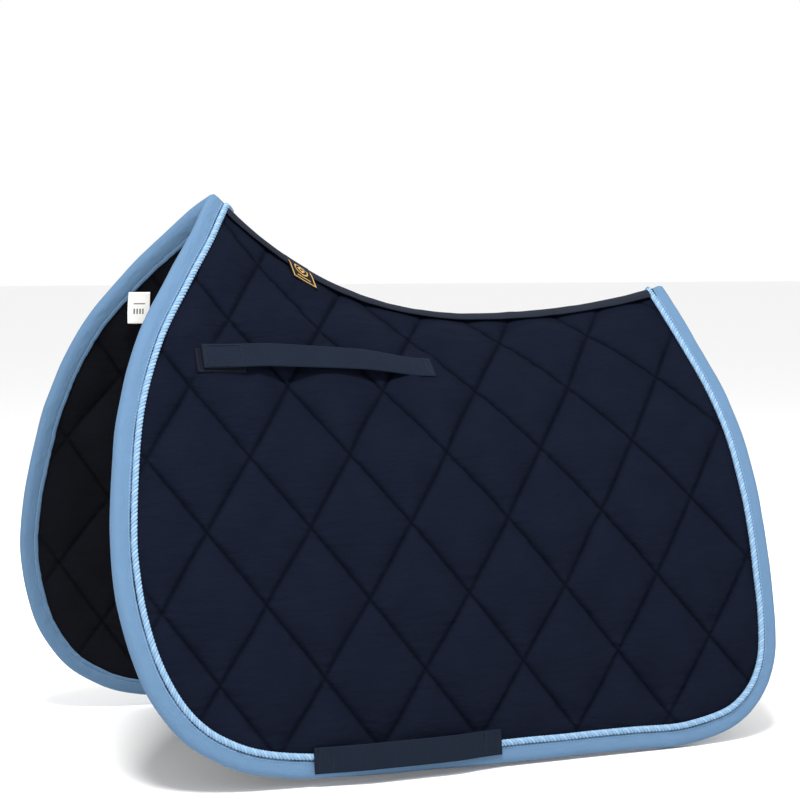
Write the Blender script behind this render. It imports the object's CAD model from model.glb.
"""Quilted saddle pad in its cloth, trim and webbing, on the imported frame."""
import bpy
import numpy as np
from math import radians
from mathutils import Matrix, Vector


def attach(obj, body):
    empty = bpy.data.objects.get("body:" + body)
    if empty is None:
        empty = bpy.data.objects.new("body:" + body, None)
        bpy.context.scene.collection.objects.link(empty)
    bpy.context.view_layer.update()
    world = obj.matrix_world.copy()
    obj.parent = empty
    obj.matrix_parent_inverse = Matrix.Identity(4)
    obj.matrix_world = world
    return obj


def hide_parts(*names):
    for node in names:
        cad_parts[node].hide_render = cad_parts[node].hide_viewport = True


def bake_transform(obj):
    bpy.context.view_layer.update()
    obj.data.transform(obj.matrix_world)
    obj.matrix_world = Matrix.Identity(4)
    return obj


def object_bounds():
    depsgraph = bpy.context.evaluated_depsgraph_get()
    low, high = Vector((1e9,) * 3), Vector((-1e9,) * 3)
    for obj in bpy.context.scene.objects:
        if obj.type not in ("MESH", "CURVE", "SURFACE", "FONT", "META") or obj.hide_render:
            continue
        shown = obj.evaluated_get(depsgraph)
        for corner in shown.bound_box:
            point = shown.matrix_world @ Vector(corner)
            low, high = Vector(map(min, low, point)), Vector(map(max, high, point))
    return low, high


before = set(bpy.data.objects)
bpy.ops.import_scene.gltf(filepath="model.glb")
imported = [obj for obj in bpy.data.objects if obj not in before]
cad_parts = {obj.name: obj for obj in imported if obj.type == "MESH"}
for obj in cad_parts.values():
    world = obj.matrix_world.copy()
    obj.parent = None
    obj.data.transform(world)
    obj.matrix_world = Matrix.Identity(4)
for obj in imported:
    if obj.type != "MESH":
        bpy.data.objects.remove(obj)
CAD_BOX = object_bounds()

# Drape of the panel's outer face, in mm, as in the CAD
BARREL_HALF_WIDTH, BARREL_SLOPE, FLAP_RADIUS = 168.0, radians(73.3), 1000.0
SEAT_SLOPE, WITHER_STEEPENS, WITHER_REACH = 29.0, 48.5, 388.0
CANTLE_STEEPENS, CANTLE_REACH = 8.0, 245.0
PANEL_T, SEAM_TAPE_T = 10.7, 0.8
CORD_INSET = 19.9
# Half outline in the flat pattern, the same points as in the CAD. A least-squares program fitted
# them to edges measured on the photograph, and they are rounded to whole mm.
OUTLINE = np.array([
    (-286, -374), (-301, -350), (-318, -322), (-352, -272), (-391, -208), (-420, -128), (-436, -20),
    (-432, 61), (-407, 133), (-359, 183), (-280, 208), (-120, 214), (60, 215),
    (140, 215), (204, 196), (242, 146), (249, 60), (246, -90), (231, -215), (229, -295)], float)

# Quilting lattice: stitch lines are the diagonals of this grid
COLUMN, ROW, LINE_SPACING, LINE_STEP = 52.0, 70.05, 83.5, 87.2
COLUMN_AT, ROW_AT, REAR_DROP = -90.6, -90.9, 18.4
STITCH = 3.4

# Straps and tag, in mm
BILLET_FRONT, BILLET_STITCH, BILLET_END, BILLET_S = -332.0, -93.0, -80.0, -187.0
LOOP_FRONT, LOOP_LONG, LOOP_S = -338.0, 50.0, -184.0
GIRTH_FRONT, GIRTH_REAR, GIRTH_S = -262.0, -72.0, 193.0
WEBBING_W, WEBBING_T = 24.0, 1.7
LABEL_X = -196.0


def noise(u, v, seed):
    """Smooth noise from -1 to 1 at the places (u, v)."""
    grid = np.random.default_rng(seed).uniform(-1, 1, (64, 64))
    low_u, low_v = np.floor(u).astype(int), np.floor(v).astype(int)
    fu, fv = u - low_u, v - low_v
    fu, fv = fu * fu * (3 - 2 * fu), fv * fv * (3 - 2 * fv)
    a, b = grid[low_u % 64, low_v % 64], grid[(low_u + 1) % 64, low_v % 64]
    c, d = grid[low_u % 64, (low_v + 1) % 64], grid[(low_u + 1) % 64, (low_v + 1) % 64]
    return (a * (1 - fu) + b * fu) * (1 - fv) + (c * (1 - fu) + d * fu) * fv


def ease(value, low, high):
    t = np.clip((value - low) / (high - low), 0, 1)
    return t * t * (3 - 2 * t)


def spine_slope(x):
    front = SEAT_SLOPE + WITHER_STEEPENS * np.tanh((x / WITHER_REACH) ** 2)
    return np.radians(np.where(x < 0, front, SEAT_SLOPE + CANTLE_STEEPENS * (x / CANTLE_REACH) ** 2))


def arch_radius(x):
    return BARREL_HALF_WIDTH / (np.sin(BARREL_SLOPE) - np.sin(spine_slope(x)))


def spine_s(x, lift=0.0):
    radius = arch_radius(x)
    return (np.arcsin(radius * np.sin(spine_slope(x)) / (radius + lift)) - BARREL_SLOPE) * radius


def drape(x, s, lift):
    radius = np.where(s < 0, arch_radius(x), FLAP_RADIUS)
    slope = BARREL_SLOPE + s / radius
    y = BARREL_HALF_WIDTH - radius * np.sin(BARREL_SLOPE) + (radius + lift) * np.sin(slope)
    return y, -radius * np.cos(BARREL_SLOPE) + (radius + lift) * np.cos(slope)


seat = np.float64(0)
SEAT_Z = drape(seat, spine_s(seat, -PANEL_T), -PANEL_T)[1] - SEAM_TAPE_T


def place(side, x, s, lift):
    """Points in metres of the flat-pattern place (x, s), lifted off the outer face."""
    x, s, lift = np.broadcast_arrays(*[np.asarray(value, float) for value in (x, s, lift)])
    s = np.maximum(s, spine_s(x, lift))
    y, z = drape(x, s, lift)
    return np.stack([x, side * y, z - SEAT_Z], -1) / 1000


def smooth_line(points, steps):
    """Catmull-Rom curve through the points."""
    chain = np.vstack([2 * points[0] - points[1], points, 2 * points[-1] - points[-2]])
    t = np.linspace(0, 1, steps, endpoint=False)[:, None]
    spans = [b + t * (c - a) / 2 + t * t * (2 * a - 5 * b + 4 * c - d) / 2
             + t ** 3 * (3 * (b - c) + d - a) / 2
             for a, b, c, d in zip(chain[:-3], chain[1:-2], chain[2:-1], chain[3:])]
    return np.vstack(spans + [points[-1:]])


def outline_curve(step):
    """The half outline as even steps: places, inward normals and distance along it."""
    fine = smooth_line(OUTLINE, 40)
    fine = np.vstack([fine[:1] + (fine[0] - fine[1]) * 12, fine, fine[-1:] + (fine[-1] - fine[-2]) * 6])
    run = np.r_[0, np.cumsum(np.hypot(*np.diff(fine, axis=0).T))]
    along = np.linspace(0, run[-1], int(run[-1] / step))
    spots = np.stack([np.interp(along, run, fine[:, k]) for k in (0, 1)], 1)
    tangent = np.gradient(spots, axis=0)
    tangent /= np.linalg.norm(tangent, axis=1)[:, None]
    return spots, np.stack([tangent[:, 1], -tangent[:, 0]], 1), along


RIM, RIM_IN, RIM_ALONG = outline_curve(2.0)


def inset_of(x, s):
    """Signed distance inside the outline."""
    flat = np.stack([x.ravel(), s.ravel()], 1)
    out = np.empty(len(flat))
    for first in range(0, len(flat), 4000):
        part = flat[first:first + 4000]
        offset = part[:, None, :] - RIM[None, :, :]
        near = (offset ** 2).sum(2).argmin(1)
        gap = part - RIM[near]
        out[first:first + 4000] = np.hypot(*gap.T) * np.sign((gap * RIM_IN[near]).sum(1))
    return out.reshape(x.shape)


def mesh_piece(name, points, faces, uv=None, materials=(), face_material=None):
    """Object from points in metres and a list of faces, smooth shaded."""
    mesh = bpy.data.meshes.new(name)
    mesh.from_pydata(points.tolist(), [], [list(face) for face in faces])
    if uv is not None:
        layer = mesh.uv_layers.new(name="flat")
        corners = np.empty(len(mesh.loops), np.int32)
        mesh.loops.foreach_get("vertex_index", corners)
        layer.data.foreach_set("uv", uv[corners].ravel())
    for material in materials:
        mesh.materials.append(material)
    if face_material is not None:
        mesh.polygons.foreach_set("material_index", face_material)
    mesh.polygons.foreach_set("use_smooth", [True] * len(mesh.polygons))
    mesh.update()
    piece = bpy.data.objects.new(name, mesh)
    bpy.context.collection.objects.link(piece)
    return piece


def lattice(rows, columns, wrap=False):
    """Quads of a grid of points, closed round the columns if wrap."""
    index = np.arange(rows * columns).reshape(rows, columns)
    right = np.roll(index, -1, 1) if wrap else index[:, 1:]
    left = index if wrap else index[:, :-1]
    return np.stack([left[:-1], right[:-1], right[1:], left[1:]], -1).reshape(-1, 4)


def grid_piece(name, points, uv, materials, keep=None, wrap=False, flip=False, caps=False,
               face_material=None, crease=None):
    """Piece from a grid of points; uv is in mm and crease shades the cloth's hollows."""
    rows, columns = points.shape[:2]
    faces = lattice(rows, columns, wrap)
    if keep is not None:
        faces = faces[keep.ravel()]
    if flip:
        faces = faces[:, ::-1]
    used, inverse = np.unique(faces, return_inverse=True)
    faces = inverse.reshape(faces.shape)
    face_list = faces.tolist()
    if caps:
        ends = [list(range(columns)), list(range((rows - 1) * columns, rows * columns))]
        face_list += [ends[0] if flip else ends[0][::-1], ends[1][::-1] if flip else ends[1]]
    piece = mesh_piece(name, points.reshape(-1, 3)[used], face_list, uv.reshape(-1, 2)[used] / 1000,
                       materials, face_material)
    if crease is not None:
        layer = piece.data.attributes.new("crease", "FLOAT", "POINT")
        layer.data.foreach_set("value", crease.ravel()[used].astype(np.float32))
    return piece


# Materials --------------------------------------------------------------------------------------

def cloth(name, colour, thread, depth, rough, sheen, mottle, weave, contrast, gloss, crinkle=0.0):
    """Woven cloth: threads along both ways of the flat pattern, with uneven dye and soft fuzz.

    thread, depth and crinkle are in mm; mottle and contrast are shares of the colour.
    """
    material = bpy.data.materials.new(name)
    material.use_nodes = True
    nodes, links = material.node_tree.nodes, material.node_tree.links
    shader = nodes["Principled BSDF"]
    shader.inputs["Roughness"].default_value = rough
    shader.inputs["Specular IOR Level"].default_value = gloss
    shader.inputs["Sheen Weight"].default_value = sheen
    shader.inputs["Sheen Roughness"].default_value = 0.4
    shader.inputs["Sheen Tint"].default_value = (*[min(1, c * 2 + 0.08) for c in colour], 1)
    place_in = nodes.new("ShaderNodeTexCoord").outputs["UV"]

    def math(kind, a, b):
        node = nodes.new("ShaderNodeMath")
        node.operation = kind
        for socket, value in zip(node.inputs, (a, b)):
            if isinstance(value, (int, float)):
                socket.default_value = value
            else:
                links.new(value, socket)
        return node.outputs[0]

    def wave(direction, period, distort):
        node = nodes.new("ShaderNodeTexWave")
        node.bands_direction = direction
        waves_per_unit = 0.628 if direction == "DIAGONAL" else 0.314
        node.inputs["Scale"].default_value = waves_per_unit / period * 1000
        node.inputs["Distortion"].default_value = distort
        node.inputs["Detail"].default_value = 1.0
        node.inputs["Detail Scale"].default_value = 1.5
        links.new(place_in, node.inputs["Vector"])
        return node.outputs["Fac"]

    def cloud(scale, detail):
        node = nodes.new("ShaderNodeTexNoise")
        node.inputs["Scale"].default_value = scale
        node.inputs["Detail"].default_value = detail
        links.new(place_in, node.inputs["Vector"])
        return node.outputs["Fac"]

    if weave == "twill":
        threads = math("MULTIPLY", wave("DIAGONAL", thread * 1.4, 0.6),
                       math("ADD", 0.6, wave("Y", thread, 0.5)))
    elif weave == "rib":
        threads = math("ADD", math("MULTIPLY", wave("X", thread, 0.3), 0.75),
                       math("MULTIPLY", wave("Y", thread * 0.8, 0.3), 0.45))
    elif weave == "mesh":
        threads = math("MULTIPLY", wave("X", thread, 0.2), wave("Y", thread, 0.2))
    else:
        threads = math("MULTIPLY", math("ADD", wave("X", thread, 0.8), wave("Y", thread * 1.1, 0.8)),
                       0.5)
    slubs = cloud(420, 3)
    dye = cloud(26, 4)
    height = math("ADD", math("MULTIPLY", threads, 0.7), math("MULTIPLY", slubs, 0.6))
    bump = nodes.new("ShaderNodeBump")
    bump.inputs["Strength"].default_value = 0.7
    bump.inputs["Distance"].default_value = depth / 1000
    links.new(height, bump.inputs["Height"])
    if crinkle:
        stretch = nodes.new("ShaderNodeMapping")
        stretch.inputs["Scale"].default_value = (55, 190, 1)
        links.new(place_in, stretch.inputs["Vector"])
        folds = nodes.new("ShaderNodeTexNoise")
        folds.inputs["Scale"].default_value = 1.0
        folds.inputs["Detail"].default_value = 3.0
        folds.inputs["Distortion"].default_value = 0.6
        links.new(stretch.outputs["Vector"], folds.inputs["Vector"])
        soft = nodes.new("ShaderNodeBump")
        soft.inputs["Strength"].default_value = 0.8
        soft.inputs["Distance"].default_value = crinkle / 1000
        links.new(folds.outputs["Fac"], soft.inputs["Height"])
        links.new(soft.outputs["Normal"], bump.inputs["Normal"])
    links.new(bump.outputs["Normal"], shader.inputs["Normal"])
    hollow = nodes.new("ShaderNodeAttribute")
    hollow.attribute_name = "crease"
    shade = math("ADD", math("MULTIPLY", threads, contrast),
                 math("MULTIPLY", math("ADD", dye, math("MULTIPLY", slubs, 0.6)), mottle * 2))
    mix = nodes.new("ShaderNodeMix")
    mix.data_type = "RGBA"
    mix.inputs["A"].default_value = (*[c * (1 - mottle - contrast / 2) for c in colour], 1)
    mix.inputs["B"].default_value = (*[min(1, c * (1 + mottle + contrast / 2) + 0.002) for c in colour], 1)
    links.new(shade, mix.inputs["Factor"])
    dark = nodes.new("ShaderNodeMix")
    dark.data_type = "RGBA"
    dark.inputs["B"].default_value = (*[c * 0.12 for c in colour], 1)
    links.new(hollow.outputs["Fac"], dark.inputs["Factor"])
    links.new(mix.outputs["Result"], dark.inputs["A"])
    links.new(dark.outputs["Result"], shader.inputs["Base Color"])
    return material


# Colour, thread, depth, roughness, sheen, mottle, weave, contrast, gloss and crinkle
COVER = cloth("cover_cotton", (0.0031, 0.0045, 0.0108), 0.9, 0.3, 0.85, 0.004, 0.25, "twill", 0.5, 0.012, 1.9)
LINING = cloth("lining_mesh", (0.0032, 0.0034, 0.0055), 1.9, 0.5, 0.9, 0.01, 0.2, "mesh", 0.9, 0.04)
WADDING = cloth("wadding_fleece", (0.74, 0.73, 0.7), 2.6, 0.6, 0.95, 0.4, 0.2, "plain", 0.25, 0.2)
BINDING = cloth("binding_cotton", (0.096, 0.176, 0.285), 1.0, 0.22, 0.85, 0.03, 0.12, "twill", 0.24,
                0.12, 1.2)
CORD = cloth("cord_blue", (0.19, 0.32, 0.47), 0.7, 0.2, 0.7, 0.03, 0.12, "rib", 0.25, 0.15)
CORD_PALE = cloth("cord_pale", (0.25, 0.38, 0.53), 0.7, 0.2, 0.7, 0.03, 0.1, "rib", 0.2, 0.15)
TAPE = cloth("tape_twill", (0.0100, 0.0130, 0.0210), 1.1, 0.3, 0.85, 0.015, 0.2, "twill", 0.45, 0.05)
WEBBING = cloth("webbing_rib", (0.0046, 0.0075, 0.0145), 1.7, 0.6, 0.7, 0.0, 0.2, "rib", 0.8, 0.03)
LOOPS = cloth("closure_loops", (0.0042, 0.005, 0.009), 0.8, 0.5, 0.9, 0.02, 0.3, "plain", 0.6, 0.03)
HOOKS = cloth("closure_hooks", (0.005, 0.006, 0.009), 1.3, 0.6, 0.6, 0.0, 0.2, "mesh", 0.6, 0.1)
THREAD = cloth("thread_navy", (0.008, 0.012, 0.022), 0.5, 0.12, 0.5, 0.0, 0.1, "rib", 0.3, 0.15)
THREAD_BLUE = cloth("thread_blue", (0.19, 0.32, 0.50), 0.5, 0.12, 0.5, 0.1, 0.1, "rib", 0.3, 0.4)
LABEL = cloth("label_ground", (0.006, 0.006, 0.008), 0.55, 0.1, 0.7, 0.0, 0.1, "twill", 0.4, 0.05)
GOLD = cloth("label_gold", (0.42, 0.25, 0.055), 0.55, 0.14, 0.4, 0.1, 0.1, "rib", 0.4, 0.5)
SATIN = cloth("tag_satin", (0.80, 0.79, 0.76), 0.4, 0.05, 0.33, 0.2, 0.04, "rib", 0.08, 0.5)
PRINT = cloth("tag_print", (0.10, 0.10, 0.11), 0.4, 0.05, 0.6, 0.0, 0.1, "rib", 0.1, 0.3)

# Quilted panels ---------------------------------------------------------------------------------

def quilting(x, s):
    """Fullness of the wadding, nearness to a stitch line, and puckers in mm."""
    drift = 1.1 * noise(x / 55, s / 55, 3)
    j = (s + drift - ROW_AT + REAR_DROP * (np.maximum(x, 0) / 240) ** 2) / ROW
    i = 6 + (x + drift - COLUMN_AT - 4.2 * (x / 300) ** 2 - 1.3 * s / 300) / COLUMN
    a, b = (i + j) / 2, (i - j) / 2
    to_a, to_b = np.abs(a - np.round(a)) * LINE_SPACING, np.abs(b - np.round(b)) * LINE_SPACING
    full_a, full_b = [1 - (1 - np.clip(gap / 36, 0, 1)) ** 2.3 for gap in (to_a, to_b)]
    crease = np.maximum(np.exp(-(to_a / 1.7) ** 1.5), np.exp(-(to_b / 1.7) ** 1.5))
    puckers = (noise(b * LINE_STEP / 6.5, np.round(a) * 9.7, 5) * np.exp(-to_a / 9) * ease(to_a, 0, 2)
               + noise(a * LINE_STEP / 6.5, np.round(b) * 7.3, 8) * np.exp(-to_b / 9) * ease(to_b, 0, 2)) * 1.25
    stitches_dip = (-0.35 * np.exp(-(to_a / 1.6) ** 2) * np.cos(b * LINE_STEP / STITCH * 2 * np.pi)
                    - 0.35 * np.exp(-(to_b / 1.6) ** 2) * np.cos(a * LINE_STEP / STITCH * 2 * np.pi))
    knot = np.hypot(to_a, to_b)
    tucks = noise(x / 22, s / 4.2, 11) * np.exp(-knot / 22) * 1.5
    soft = noise(x / 42, s / 20, 13) * 0.5 + noise(x / 16, s / 7, 17) * 0.24
    return full_a * full_b, crease, stitches_dip + puckers + tucks + soft * full_a * full_b


def held_flat(front, rear, middle_s, half):
    """1 where a strap or tape is sewn down on the cover, fading over a few mm."""
    off_x = np.maximum(np.maximum(front - flat_x, flat_x - rear), 0)
    off_s = np.maximum(np.abs(flat_s - middle_s) - half, 0)
    return 1 - ease(np.hypot(off_x, off_s), 0, 14)


STEP = 2.0
flat_x, flat_s = np.meshgrid(np.arange(-440, 254, STEP), np.arange(-378, 222, STEP), indexing="ij")
flat_inset = inset_of(flat_x, flat_s)
fullness, creases, wrinkles = quilting(flat_x, flat_s)
edge_full = ease(flat_inset, 17, 46) * 0.72 + ease(flat_inset, 12, 24) * 0.28
spine_gap = flat_s - spine_s(flat_x)
edge_full = edge_full * (0.25 + 0.75 * ease(spine_gap, 6, 34))
rim_wrinkle = noise(flat_x / 9, flat_s / 9, 21) * np.exp(-np.abs(flat_inset - 26) / 9) * 0.7
sewn_down = (held_flat(BILLET_STITCH - 2, BILLET_END + 1, BILLET_S, 15)
             + held_flat(LOOP_FRONT, LOOP_FRONT + LOOP_LONG, LOOP_S, 15))
edge_full = edge_full * (1 - 0.9 * sewn_down)
OUTER = (-4.6 + 8.6 * fullness * edge_full + 2.6 * (1 - edge_full)
         - 1.7 * creases * (0.4 + 0.6 * edge_full) + wrinkles * (0.35 + 0.65 * edge_full)
         + rim_wrinkle + 1.4 * sewn_down)
INNER = -7.9 - 4.4 * fullness * edge_full - 2.4 * (1 - edge_full) + 0.7 * creases - 0.5 * wrinkles
OUTER = np.maximum(OUTER, INNER + 1.5)
CREASE_SHADE = np.clip(creases * 0.7 * (0.3 + 0.7 * edge_full), 0, 1)


def bend_at_fold(piece):
    """Let the piece bend from above the fold line to below it."""
    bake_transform(piece)


def lowest_near(values, reach):
    """Lowest of each value and its neighbours on the grid."""
    padded = np.pad(values, reach, mode="edge")
    rows, columns = values.shape
    window = range(2 * reach + 1)
    near = [padded[a:a + rows, b:b + columns] for a in window for b in window]
    return np.min(near, axis=0)


def whole_quads(inside):
    return inside[:-1, :-1] & inside[1:, :-1] & inside[:-1, 1:] & inside[1:, 1:]


def panel(name, side):
    """One side's cover and lining, and the wadding between them as a closed slab."""
    uv = np.stack([flat_x, flat_s], -1)
    for layer, lift, material in (("cover", OUTER, COVER), ("lining", INNER, LINING)):
        inside = (flat_inset > 9) & (flat_s > spine_s(flat_x, lift) - STEP)
        points = place(side, flat_x, flat_s, lift)
        piece = grid_piece(f"{name}_{layer}", points, uv, [material], whole_quads(inside),
                           flip=(side > 0) == (layer == "cover"), crease=CREASE_SHADE)
        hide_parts(f"{name}_{layer}_top", f"{name}_{layer}_flap")
        bend_at_fold(piece)
    top, low = lowest_near(OUTER, 2) - 1.0, -lowest_near(-INNER, 2) + 1.0
    x, s, inset, top, low = (values[::2, ::2] for values in (flat_x, flat_s, flat_inset, top, low))
    middle = (top + low) / 2
    top, low = np.maximum(top, middle + 0.15), np.minimum(low, middle - 0.15)
    inside = (inset > 11) & (s > spine_s(x, -PANEL_T) + 1)
    inside &= top - low > 0.5
    faces = lattice(*x.shape)[whole_quads(inside).ravel()]
    count = x.size
    points = np.vstack([place(side, x, s, top).reshape(-1, 3), place(side, x, s, low).reshape(-1, 3)])
    edges = {}
    for quad in faces.tolist():
        for a, b in zip(quad, quad[1:] + quad[:1]):
            if edges.pop((b, a), None) is None:
                edges[(a, b)] = True
    sides = [[a, b, b + count, a + count][::-1] for a, b in edges]
    quads = faces.tolist() + (faces[:, ::-1] + count).tolist() + sides
    used, inverse = np.unique(np.array(quads), return_inverse=True)
    uv = np.tile(np.stack([x, s], -1).reshape(-1, 2), (2, 1)) / 1000
    quads = inverse.reshape(-1, 4)
    if side > 0:
        quads = quads[:, ::-1]
    piece = mesh_piece(f"{name}_wadding", points[used], quads.tolist(), uv[used], [WADDING])
    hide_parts(f"{name}_wadding_top", f"{name}_wadding_flap")
    bend_at_fold(piece)


# Edge trim --------------------------------------------------------------------------------------

# Across the binding: distance in from the rim, and lift, from the cord round the edge to the lining
BINDING_LINE = smooth_line(np.array([
    (15.2, -2.2), (16.9, -0.8), (16.6, 0.7), (15.2, 1.3), (12.5, 1.5), (9, 1.8), (5.5, 1.7), (2.6, 0.7),
    (0.6, -1.6), (-0.3, -5.2), (0.5, -8.8), (2.6, -11.2), (5.5, -12.3), (9, -12.6), (12.2, -12.4),
    (13.0, -11.9), (13.9, -12.5), (16.4, -12.3), (17.0, -11.2), (15.2, -9.6)], float), 4)


def binding(name, side):
    """Cotton strip folded over the edge, pulled in a little by its stitching."""
    inset, lift = BINDING_LINE[:, 0][None, :], BINDING_LINE[:, 1][None, :]
    along = RIM_ALONG[:, None]
    leg = ease(inset, 4, 14)
    heading = np.unwrap(np.arctan2(RIM_IN[:, 1], RIM_IN[:, 0]))
    round_turn = np.abs(np.gradient(heading, RIM_ALONG))[:, None]
    tight = 0.35 + np.clip(round_turn * 60, 0, 1.3)
    seam_pucker = noise(along / 5.2 + inset * 0, 0 * inset + 3.3, 31 if side < 0 else 37)
    slant = noise((along + 1.5 * inset) / 9.5, inset / 8, 33 if side < 0 else 39)
    swell = noise(along / 46, inset / 11 + 5, 35)
    outward = np.where(lift > -5.3, 1.0, -1.0)
    extra = outward * (0.42 * seam_pucker * leg * tight + 0.38 * slant * (1 - 0.5 * leg) * tight
                       + 0.35 * swell)
    inset = inset + 0.35 * noise(along / 30, 0 * inset, 41) + 0.3 * seam_pucker * leg
    x = RIM[:, 0][:, None] + inset * RIM_IN[:, 0][:, None]
    s = RIM[:, 1][:, None] + inset * RIM_IN[:, 1][:, None]
    across = np.r_[0, np.cumsum(np.hypot(*np.diff(BINDING_LINE, axis=0).T))][None, :]
    uv = np.stack(np.broadcast_arrays(along, across), -1)
    piece = grid_piece(f"{name}_binding", place(side, x, s, lift + extra), uv, [BINDING], flip=side < 0)
    ends = ["binding_wither", "binding_cantle"] if side < 0 else []
    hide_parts(f"{name}_binding_flap", *ends)
    bend_at_fold(piece)


def tube(centres, ups, radius, around=8):
    """Rings of points along centres; radius may vary, and ups point out of the cloth."""
    tangent = np.gradient(centres, axis=0)
    tangent /= np.linalg.norm(tangent, axis=1)[:, None] + 1e-12
    across = np.cross(tangent, ups)
    across /= np.linalg.norm(across, axis=1)[:, None] + 1e-12
    ups = np.cross(across, tangent)
    turn = np.linspace(0, 2 * np.pi, around, endpoint=False)
    radius = np.broadcast_to(radius, len(centres))[:, None, None]
    turn = turn[None, :, None]
    ring = across[:, None, :] * np.cos(turn) + ups[:, None, :] * np.sin(turn)
    return centres[:, None, :] + ring * radius


def tubes_piece(name, runs, materials, which):
    """One piece of several tubes, each given as rings, with its material's number."""
    points, faces, uvs, numbers, base = [], [], [], [], 0
    for rings, number in zip(runs, which):
        rows, columns = rings.shape[:2]
        quads = lattice(rows, columns, wrap=True) + base
        last = base + (rows - 1) * columns
        faces += quads.tolist() + [list(range(base, base + columns))[::-1], list(range(last, last + columns))]
        numbers += [number] * (len(quads) + 2)
        points.append(rings.reshape(-1, 3))
        run = np.r_[0, np.cumsum(np.linalg.norm(np.diff(rings[:, 0], axis=0), axis=1))]
        turn = np.linspace(0, 0.006, columns)
        uvs.append(np.stack(np.meshgrid(run, turn, indexing="ij"), -1).reshape(-1, 2))
        base += rows * columns
    return mesh_piece(name, np.vstack(points), faces, np.vstack(uvs), materials, numbers)


def twisted_cord(name, side):
    """Three strands laid round each other beside the binding."""
    pitch, strand, lay = 11.5, 1.5, 1.55
    fine = np.arange(0, RIM_ALONG[-1], 0.95)
    rim = np.stack([np.interp(fine, RIM_ALONG, RIM[:, k]) for k in (0, 1)], 1)
    inward = np.stack([np.interp(fine, RIM_ALONG, RIM_IN[:, k]) for k in (0, 1)], 1)
    sway = 0.35 * noise(fine / 34, 0 * fine, 45)
    runs = []
    for strand_number in range(3):
        turn = 2 * np.pi * (fine / pitch + strand_number / 3)
        inset = CORD_INSET + sway + lay * np.cos(turn) * 1.12
        lift = 1.5 + lay * np.sin(turn) * 0.95
        x, s = rim[:, 0] + inset * inward[:, 0], rim[:, 1] + inset * inward[:, 1]
        centres, above = place(side, x, s, lift), place(side, x, s, lift + 1)
        runs.append(tube(centres, (above - centres) * 1000, strand / 1000, 8))
    piece = tubes_piece(f"{name}_cord", runs, [CORD, CORD_PALE], [0, 1, 0])
    ends = ["cord_wither", "cord_cantle"] if side < 0 else []
    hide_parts(f"{name}_cord_flap", *ends)
    bend_at_fold(piece)


def stitch_row(side, x, s, lift, length=3.0, radius=0.34, sink=0.5):
    """Tube along flat places that dips under the cloth between stitches."""
    x, s = np.asarray(x, float), np.asarray(s, float)
    run = np.r_[0, np.cumsum(np.hypot(np.diff(x), np.diff(s)))]
    along = np.arange(0, run[-1], length / 5)
    x, s = np.interp(along, run, x), np.interp(along, run, s)
    lift = np.interp(along, run, np.broadcast_to(lift, len(run)))
    dip = np.abs(np.sin(np.pi * along / length)) ** 0.5
    centres = place(side, x, s, lift - sink * (1 - dip))
    ups = (place(side, x, s, lift + 1) - place(side, x, s, lift)) * 1000
    return tube(centres, ups, radius / 1000 * (0.55 + 0.45 * dip), 6)


def edge_stitching(name, side):
    """Stitch lines that hold the binding: beside the cord, and near its inner fold on the lining."""
    runs = []
    for inset, lift in ((15.0, 1.55), (13.0, -11.75)):
        rim = slice(4, -3)
        x, s = RIM[rim, 0] + inset * RIM_IN[rim, 0], RIM[rim, 1] + inset * RIM_IN[rim, 1]
        open_part = s > spine_s(x, lift) + 1
        runs.append(stitch_row(side, x[open_part], s[open_part], lift, 3.4, 0.3, 0.5))
    piece = tubes_piece(f"{name}_edge_stitching", runs, [THREAD_BLUE], [0, 0])
    bend_at_fold(piece)


# Straps, tapes, label and tag -------------------------------------------------------------------

def strap_lift(x, front, rear, low_front, low_rear, bow, ramp):
    share = (x - front) / (rear - front)
    near = np.clip(np.minimum(x - front, rear - x) / ramp, 0, 1)
    return low_front + (low_rear - low_front) * share + bow * near * near * (3 - 2 * near)


def webbing(name, side, xs, middle_s, under, material, width=WEBBING_W, thick=WEBBING_T, twist=0.0):
    """Flat webbing with rounded selvedges along xs; under is its underside's lift."""
    half, edge = width / 2, thick / 2
    across = np.r_[np.linspace(-half + edge, half - edge, 17),
                   half - edge * 0.3, half, half - edge * 0.3]
    height = np.r_[np.full(17, thick), thick * 0.85, edge, thick * 0.15]
    across, height = np.r_[across, -across], np.r_[height, thick - height]
    x, across = np.meshgrid(xs, across, indexing="ij")
    ripple = 0.22 * noise(x / 17, across / 14 + 9, 51) + 0.05 * noise(x / 3, across / 3, 53)
    s = middle_s + across + 0.25 * noise(x / 40, 0 * x, 55)
    lift = under(xs)[:, None] + height[None, :] + ripple + twist * across / half
    uv = np.stack([x, s + 200 * (height[None, :] < edge)], -1)
    return grid_piece(name, place(side, x, s, lift), uv, [material], wrap=True, flip=side > 0, caps=True)


def zigzag(side, x, middle_s, half, lift, pitch=3.2, reach=2.2):
    """Zigzag stitches across a strap at x."""
    spots = np.arange(-half, half, pitch / 2)
    swing = np.where(np.arange(len(spots)) % 2 == 0, -reach / 2, reach / 2)
    return stitch_row(side, x + swing, middle_s + spots, lift, np.hypot(pitch / 2, reach), 0.38, 0.3)


def bar(side, x, middle_s, half, lift):
    """Two rows of stitches side by side across a strap."""
    ends = [middle_s - half, middle_s + half]
    return [stitch_row(side, [row, row], ends, lift, 2.6, 0.36, 0.35) for row in (x, x + 1.1)]


def sew(name, runs, body, thread):
    piece = tubes_piece(name, runs, [thread], [0] * len(runs))
    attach(piece, body)


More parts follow.
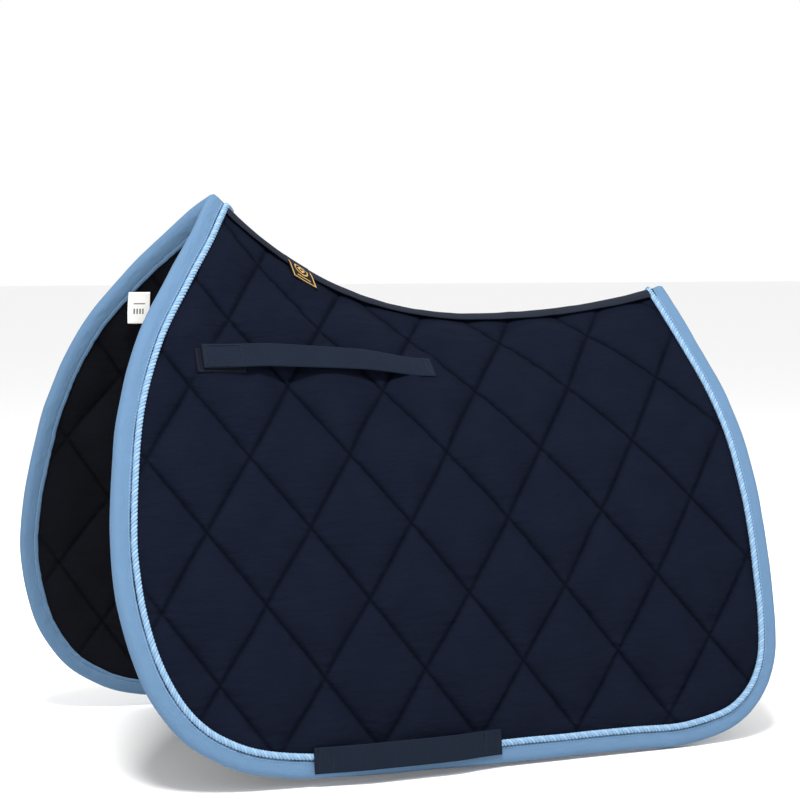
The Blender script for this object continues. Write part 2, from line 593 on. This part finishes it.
def billet(name, side):
    """Strap sewn at the rear and closed at the front, with its hook and loop tapes."""
    def under(x):
        x = np.asarray(x, float)
        held = strap_lift(x, BILLET_FRONT, BILLET_STITCH, 2.7, 0.3, 8.0, 75.0)
        lift = np.where(x > BILLET_STITCH, 0.1 + 0.2 * ease(BILLET_END - x, 0, 12), held)
        return lift - 0.5 * ease(x, BILLET_STITCH - 10, BILLET_STITCH + 4)

    def on_top(x):
        return under(x) + WEBBING_T + 0.15

    xs = np.linspace(BILLET_FRONT, BILLET_END, 130)
    strap = webbing(f"{name}_billet_webbing", side, xs, BILLET_S, under, WEBBING)
    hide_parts(f"{name}_billet_strap", f"{name}_billet_tack")
    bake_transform(strap)
    rear = [zigzag(side, x, BILLET_S, 10.5, on_top(x)) for x in (BILLET_END - 3.5, BILLET_END - 7.5)]
    sew(f"{name}_billet_tacking", rear, "saddle_panel", THREAD)
    front = [zigzag(side, x, BILLET_S, 10.5, on_top(x)) for x in (BILLET_FRONT + 3.5, BILLET_FRONT + 39)]
    ends = np.array([BILLET_FRONT + 4, BILLET_FRONT + 38])
    front += [stitch_row(side, ends, [BILLET_S + edge] * 2, on_top(ends), 3.0, 0.32, 0.3)
              for edge in (-10.3, 10.3)]
    sew(f"{name}_hook_stitching", front, f"{name}_billet", THREAD)
    xs = np.linspace(BILLET_FRONT + 0.5, BILLET_FRONT + 41.5, 30)
    hook = webbing(f"{name}_hook_tape", side, xs, BILLET_S, lambda x: under(x) - 1.15, HOOKS, 22.5, 1.0)
    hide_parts(f"{name}_hook_patch")
    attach(hook, f"{name}_billet")
    xs = np.linspace(LOOP_FRONT, LOOP_FRONT + LOOP_LONG, 36)
    loops = webbing(f"{name}_loop_tape", side, xs, LOOP_S, lambda x: 0 * x - 0.6, LOOPS, 24, 1.9)
    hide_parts(f"{name}_loop_patch")
    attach(loops, "saddle_panel")
    left, right = LOOP_FRONT + 1.5, LOOP_FRONT + LOOP_LONG - 1.5
    top, low = LOOP_S - 10.5, LOOP_S + 10.5
    border = stitch_row(side, [left, right, right, left, left], [top, top, low, low, top],
                        1.45, 2.8, 0.3, 0.3)
    sew(f"{name}_loop_stitching", [border], "saddle_panel", THREAD)


def girth(name, side):
    """Strap sewn at both ends over the cord and the hem, slack between them."""
    def under(x):
        return strap_lift(np.asarray(x, float), GIRTH_FRONT, GIRTH_REAR, 4.3, 4.3, 9.0, 60.0)

    xs = np.linspace(GIRTH_FRONT, GIRTH_REAR, 110)
    strap = webbing(f"{name}_girth_webbing", side, xs, GIRTH_S, under, WEBBING, twist=0.5)
    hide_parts(f"{name}_girth_strap")
    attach(strap, f"{name}_flap")
    runs = []
    for x in (GIRTH_FRONT + 4, GIRTH_FRONT + 17, GIRTH_REAR - 18, GIRTH_REAR - 5):
        runs += bar(side, x, GIRTH_S, 10.4, under(x) + WEBBING_T + 0.2)
    sew(f"{name}_girth_stitching", runs, f"{name}_flap", THREAD)


def tape_over_spine(name, node, front, rear, half, face, crown, thick):
    """Tape folded over the spine seam: face is the lift of its visible side, crown its sign."""
    x, q = np.meshgrid(np.linspace(front, rear, 220), np.linspace(-half, half, 33), indexing="ij")
    q = q + 0.5 * noise(x / 45, 0 * x, 61) * np.abs(q) / half
    groove = 0.45 * np.exp(-((np.abs(q) - half + 2.2) / 0.6) ** 2)
    lift = (face - crown * (groove - 0.3 * noise(x / 14, q / 9, 63))
            - crown * 0.9 * ease(np.abs(q), half - 1, half))
    side = np.where(q < 0, -1.0, 1.0)
    s = spine_s(x, lift) + np.abs(q)
    points = place(1.0, x, s, lift)
    points[..., 1] *= side
    points[..., 2] -= crown * 0.0016 * np.exp(-(q / 2.2) ** 2)
    uv = np.stack([x, q], -1)
    piece = grid_piece(name, points, uv, [TAPE], flip=crown < 0)
    solid = piece.modifiers.new("thickness", "SOLIDIFY")
    solid.thickness = thick / 1000
    solid.offset = -1
    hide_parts(node)
    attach(piece, "saddle_panel")


def woven_label():
    """Label sewn under the tape's edge: gold border and a plain ring-and-diamond pattern."""
    u, v = np.meshgrid(np.linspace(-15, 15, 61), np.linspace(0, 33, 67), indexing="ij")
    x = LABEL_X + u * 0.86
    s = spine_s(x, 2.3) + v
    lift = (2.35 + 2.4 * ease(v, 3, 14) - 0.6 * ease(np.abs(u), 14, 15)
            + 0.25 * noise(u / 9, v / 9, 71) - 0.6 * ease(v, 32, 33))
    cell_u, cell_v = (u[:-1, :-1] + u[1:, 1:]) / 2, (v[:-1, :-1] + v[1:, 1:]) / 2
    border = (np.abs(cell_u) > 12.2) & (np.abs(cell_u) < 13.4) & (cell_v > 2) & (cell_v < 31.2)
    border |= (((cell_v > 30) & (cell_v < 31.2)) | ((cell_v > 2) & (cell_v < 3.2))) & (np.abs(cell_u) < 13.4)
    far, step = np.hypot(cell_u, cell_v - 14.5), np.abs(cell_u) + np.abs(cell_v - 14.5)
    ring = (far > 6.6) & (far < 7.9)
    diamond = (step < 4.6) & (step > 2.2)
    line = (np.abs(cell_v - 26) < 0.55) & (np.abs(cell_u) < 8)
    gold = border | ring | diamond | line
    raised = np.zeros_like(u)
    raised[:-1, :-1] += gold * 0.18
    piece = grid_piece("woven_label_piece", place(-1, x, s, lift + raised), np.stack([u, v], -1),
                       [LABEL, GOLD], face_material=gold.astype(int).ravel())
    solid = piece.modifiers.new("thickness", "SOLIDIFY")
    solid.thickness = 0.0007
    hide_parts("woven_label")
    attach(piece, "saddle_panel")


def size_tag():
    """Folded satin ribbon under the right front binding, a little curled, with plain printed bars."""
    down = radians(78.43)
    hinge = np.array([-0.339, 0.0658453, 0.0384136])
    fall = np.array([0, np.cos(down), -np.sin(down)])
    inward = np.array([0, -np.sin(down), -np.cos(down)])
    long = np.linspace(0, 1, 60)
    wide = np.linspace(-11, 11, 45)
    loop = np.minimum(long, 1 - long) * 2 * 32
    share = loop / 32
    gap = 0.5 + 1.05 * np.sin(np.pi * np.clip(share, 0, 1))
    level = np.where(long < 0.5, -gap, gap) * np.sqrt(np.clip(1 - share ** 8, 0, 1))
    curl = 3.4 * share ** 2
    w, _ = np.meshgrid(wide, long)
    bend = 0.014 * w ** 2 * share[:, None]
    points = (hinge + np.stack([w, 0 * w, 0 * w], -1) / 1000
              + fall * loop[:, None, None] / 1000
              + inward * ((level + curl + 1.2)[:, None] - bend)[..., None] / 1000)
    cw, cl = (w[:-1, :-1] + w[1:, 1:]) / 2, ((loop[:-1] + loop[1:]) / 2)[:, None] + 0 * w[:-1, :-1]
    front = ((long[:-1] + long[1:]) / 2 > 0.5)[:, None]
    stripes = (np.abs(cl - 19) < 2.4) & ((np.floor((cw + 6.2) / 1.55) % 2) == 0)
    bars = front & (np.abs(cw) < 6.2) & (stripes | (np.abs(cl - 11.5) < 0.5))
    uv = np.stack([w, np.cumsum(0 * w + 1.1, 0)], -1)
    piece = grid_piece("size_tag_ribbon", points, uv, [SATIN, PRINT], face_material=bars.astype(int).ravel())
    solid = piece.modifiers.new("thickness", "SOLIDIFY")
    solid.thickness = 0.00025
    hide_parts("size_tag")
    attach(piece, "size_tag")


for side_name, side_sign in (("left", -1.0), ("right", 1.0)):
    panel(side_name, side_sign)
    binding(side_name, side_sign)
    twisted_cord(side_name, side_sign)
    edge_stitching(side_name, side_sign)
    billet(side_name, side_sign)
    girth(side_name, side_sign)
tape_over_spine("spine_tape_piece", "spine_tape", -271, 213, 12.0, 2.0, 1.0, 1.2)
tape_over_spine("seam_tape_piece", "seam_tape", -272, 216, 9.0, -11.6, -1.0, 0.7)
woven_label()
size_tag()

# Floor, light and camera ------------------------------------------------------------------------

def plain(name, colour, rough):
    material = bpy.data.materials.new(name)
    material.use_nodes = True
    shader = material.node_tree.nodes["Principled BSDF"]
    shader.inputs["Base Color"].default_value = (*colour, 1)
    shader.inputs["Roughness"].default_value = rough
    return material


lowest = CAD_BOX[0][2]
floor_points = np.array([(-30, -30, 0), (30, -30, 0), (30, 30, 0), (-30, 30, 0)], float)
floor_points[:, 2] = lowest - 0.002
floor_pale = plain("floor_pale", (0.9, 0.9, 0.9), 0.9)
floor = mesh_piece("floor", floor_points, [[0, 1, 2, 3]], None, [floor_pale])


def area_light(name, spot, aim, size, power):
    data = bpy.data.lights.new(name, "AREA")
    data.shape = "RECTANGLE"
    data.size, data.size_y = size
    data.energy = power
    lamp = bpy.data.objects.new(name, data)
    bpy.context.collection.objects.link(lamp)
    toward = np.array(aim, float) - np.array(spot, float)
    back = -toward / np.linalg.norm(toward)
    right = np.cross((0, 0, 1), back)
    right /= np.linalg.norm(right)
    columns = [[*column, 0] for column in (right, np.cross(back, right), back)]
    lamp.matrix_world = Matrix(columns + [[0, 0, 0, 1]]).transposed()
    lamp.location = spot


area_light("key", (-0.9, -1.5, 2.3), (0, -0.1, -0.1), (0.7, 0.7), 125)
area_light("fill", (1.9, -2.0, 0.9), (0, 0, -0.1), (1.4, 1.6), 8)
area_light("back", (0.6, 2.2, 1.8), (0, 0, -0.1), (1.8, 1.4), 26)
world = bpy.data.worlds.new("studio")
world.use_nodes = True
world.node_tree.nodes["Background"].inputs["Color"].default_value = (1, 1, 1, 1)
world.node_tree.nodes["Background"].inputs["Strength"].default_value = 1.0
bpy.context.scene.world = world
bpy.context.scene.view_settings.view_transform = "Standard"

CAMERA_AWAY = 2.1927
azimuth, elevation = radians(-24.05), radians(3.90)
aim = np.array([-0.0830, 0.0, -0.0728])
right = np.array([np.cos(azimuth), np.sin(azimuth), 0.0])
level = np.array([np.sin(azimuth), -np.cos(azimuth), 0.0])
back = level * np.cos(elevation) + np.array([0.0, 0.0, np.sin(elevation)])
up = np.cross(back, right)
spot = aim + CAMERA_AWAY * back
camera_data = bpy.data.cameras.new("camera")
camera_data.sensor_width = 36.0
camera_data.lens = 96.43
camera = bpy.data.objects.new("camera", camera_data)
camera.matrix_world = Matrix([[*right, 0], [*up, 0], [*back, 0], [*spot, 1]]).transposed()
bpy.context.collection.objects.link(camera)
bpy.context.scene.camera = camera
